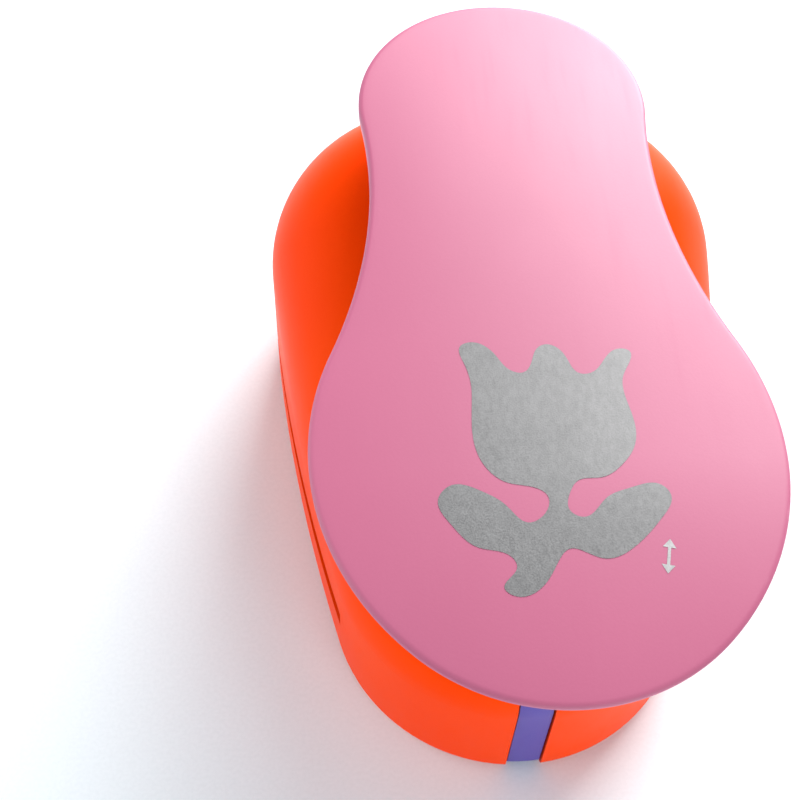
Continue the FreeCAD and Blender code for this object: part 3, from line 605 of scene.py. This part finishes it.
def foil(name, outlines, finish):
    """A thin film on the lever with the given closed outlines."""
    mesh = bmesh.new()
    for outline in outlines:
        ring = [mesh.verts.new((p.x, p.y, 0)) for p in outline]
        edges = [mesh.edges.new((ring[i - 1], ring[i])) for i in range(len(ring))]
        bmesh.ops.triangle_fill(mesh, use_beauty=True, use_dissolve=False, edges=edges)
    for axis in (0, 1):
        low = min(v.co[axis] for v in mesh.verts)
        high = max(v.co[axis] for v in mesh.verts)
        direction = [0, 0, 0]
        direction[axis] = 1
        line = low + 1.0 * MM
        while line < high:
            place = [0, 0, 0]
            place[axis] = line
            everything = mesh.verts[:] + mesh.edges[:] + mesh.faces[:]
            bmesh.ops.bisect_plane(mesh, geom=everything, plane_co=place, plane_no=direction)
            line += 1.0 * MM
    for vertex in mesh.verts:
        vertex.co.z = lever_top(vertex.co.x, vertex.co.y) + FILM
    piece = mesh_piece(name, mesh, finish, "lever")
    if piece.data.polygons[0].normal.z < 0:
        piece.data.flip_normals()
    return piece


tulip = [Vector((p.x * PRINT_WIDE, p.y * PRINT_LONG)) + PRINT_AT for p in edge_points]
tulip_print = foil("tulip_print", [tulip], finishes["print_silver"])
print("tulip print:", len(tulip_print.data.polygons), "faces")

# %% [markdown]
# Beside the tulip the lever carries a small worn size mark. Here it is a plain measuring arrow with
# two heads, which says the same to the user and copies nobody's lettering.

# %% A small measuring arrow
ARROW_AT = Vector((14.2, -44.6)) * MM
ARROW_HALF = 2.6 * MM
ARROW_LEAN = math.radians(12)


def arrow_outline():
    """A thin arrow with a head at each end, leaning a little."""
    stem = 0.22 * MM
    head = 0.95 * MM
    tip = ARROW_HALF
    neck = tip - 1.3 * MM
    side = [(stem, -neck), (stem, neck), (head, neck), (0, tip)]
    side += [(-head, neck), (-stem, neck), (-stem, -neck), (-head, -neck), (0, -tip), (head, -neck)]
    turned = []
    for x, y in side:
        turned.append(Vector((
            x * math.cos(ARROW_LEAN) + y * math.sin(ARROW_LEAN),
            y * math.cos(ARROW_LEAN) - x * math.sin(ARROW_LEAN),
        )) + ARROW_AT)
    return turned


foil("size_arrow", [arrow_outline()], finishes["worn_silver"])
print("arrow is", round(2 * ARROW_HALF / MM, 1), "mm long")

# %% [markdown]
# Four springs push the plunger up again. A spring that is only stretched in length by the
# animation would do, but its wire would flatten, so each is rebuilt as a coil with closed ends.
# The coils ride on the casing.

# %% Return springs
SPRING_WIRE = 0.55 * MM
SPRING_RADIUS = 3.5 * MM
SPRING_TURNS = 5.0


def spring_curve(place, low, high):
    """A wire along a coil with closed ends."""
    curve = bpy.data.curves.new(f"spring_{place}", "CURVE")
    curve.dimensions = "3D"
    curve.bevel_depth = SPRING_WIRE
    curve.bevel_resolution = 3
    curve.use_fill_caps = True
    spline = curve.splines.new("POLY")
    count = int(SPRING_TURNS * 28)
    spline.points.add(count)
    bottom, top = low + SPRING_WIRE, high - SPRING_WIRE
    for i, point in enumerate(spline.points):
        share = i / count
        rise = 0.08 * share + 0.92 * (0.5 - 0.5 * math.cos(math.pi * share))
        angle = 2 * math.pi * SPRING_TURNS * share
        z = bottom + (top - bottom) * rise
        point.co = (SPRING_RADIUS * math.cos(angle), SPRING_RADIUS * math.sin(angle), z, 1)
    return curve


guide_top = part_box("guide_block")[1].z
holder_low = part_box("punch_holder")[0].z
for place in ("far_left", "far_right", "heel_left", "heel_right"):
    low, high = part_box(f"guide_post_{place}")
    middle = (low + high) / 2
    holder = bpy.data.objects.new("wire", spring_curve(place, guide_top, holder_low - 0.05 * MM))
    bpy.context.scene.collection.objects.link(holder)
    bpy.context.view_layer.update()
    solid = bpy.data.meshes.new_from_object(holder.evaluated_get(bpy.context.evaluated_depsgraph_get()))
    bpy.data.objects.remove(holder)
    solid.transform(Matrix.Translation((middle.x, middle.y, 0)))
    spring = bpy.data.objects.new(f"spring_{place}", solid)
    bpy.context.scene.collection.objects.link(spring)
    solid.materials.append(finishes["spring_steel"])
    for face in solid.polygons:
        face.use_smooth = True
    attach(spring, "casing")
    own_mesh(spring)
    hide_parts(f"return_spring_{place}")
print("four springs of", SPRING_TURNS, "turns")

# %% [markdown]
# The punch stands on a plain white sweep under soft light. One large light behind it on the right
# does most of the work, as a window would, and lays a pale sheen on the lever's waist. Two weaker
# ones, on the left and before the heel, keep the shadows open. The camera looks down steeply over
# the heel from a hand's distance.

# %% Floor, light and camera


def floor():
    """A wide pale sheet with fine paper fibres."""
    finish, tree, shader = new_finish("paper_floor")
    fibres = noise(tree, 1500, 4.0)
    tree.links.new(ramp(tree, fibres, (0.77, 0.86, 0.89), (0.80, 0.89, 0.92)), shader.inputs["Base Color"])
    shader.inputs["Roughness"].default_value = 0.9
    bpy.ops.mesh.primitive_plane_add(size=6.0)
    sheet = bpy.context.object
    sheet.name = "floor"
    sheet.data.materials.append(finish)


def area_light(name, at, towards, size, power, colour):
    """A square soft light, aimed at a point."""
    light = bpy.data.lights.new(name, "AREA")
    light.size = size
    light.energy = power
    light.color = colour
    holder = bpy.data.objects.new(name, light)
    bpy.context.scene.collection.objects.link(holder)
    holder.location = at
    holder.rotation_euler = (Vector(towards) - Vector(at)).to_track_quat("-Z", "Y").to_euler()


floor()
area_light("window", (0.36, 0.62, 0.44), (0, 0, 0.05), 0.60, 15.0, (1.0, 0.99, 0.99))
area_light("left_wall", (-0.80, 0.15, 0.30), (0, 0, 0.03), 0.8, 4.5, (0.97, 0.98, 1.0))
area_light("heel_side", (0.25, -0.85, 0.30), (0, 0, 0.03), 0.8, 4.8, (0.98, 0.99, 1.0))
world = bpy.data.worlds.new("room")
world.use_nodes = True
world.node_tree.nodes["Background"].inputs["Color"].default_value = (0.93, 0.96, 1.0, 1)
world.node_tree.nodes["Background"].inputs["Strength"].default_value = 0.45
bpy.context.scene.world = world
bpy.context.scene.view_settings.view_transform = "Standard"

LOOK_AT = Vector((-18.31, 7.3, 30.0)) * MM
DISTANCE = 257.1 * MM
ELEVATION = math.radians(57.29)
AZIMUTH = math.radians(-5.87)
ROLL = math.radians(2.68)
LENS = 65.4


def camera():
    """Looks down over the heel, turned a little about its own axis."""
    lens = bpy.data.cameras.new("camera")
    lens.lens = LENS
    lens.sensor_width = 36.0
    lens.clip_start = 0.01
    back = Vector((
        math.sin(AZIMUTH) * math.cos(ELEVATION),
        -math.cos(AZIMUTH) * math.cos(ELEVATION),
        math.sin(ELEVATION),
    ))
    holder = bpy.data.objects.new("camera", lens)
    bpy.context.scene.collection.objects.link(holder)
    holder.location = LOOK_AT + back * DISTANCE
    level = back.to_track_quat("Z", "Y").to_matrix().to_4x4()
    turn = Matrix.Rotation(ROLL, 4, "Z")
    holder.rotation_euler = (level @ turn).to_euler()
    bpy.context.scene.camera = holder


camera()
print("camera", round(DISTANCE / MM), "mm away")

# %% [markdown]
# The last step only prints that the scene is ready.

# %% Finish


print("scene ready")
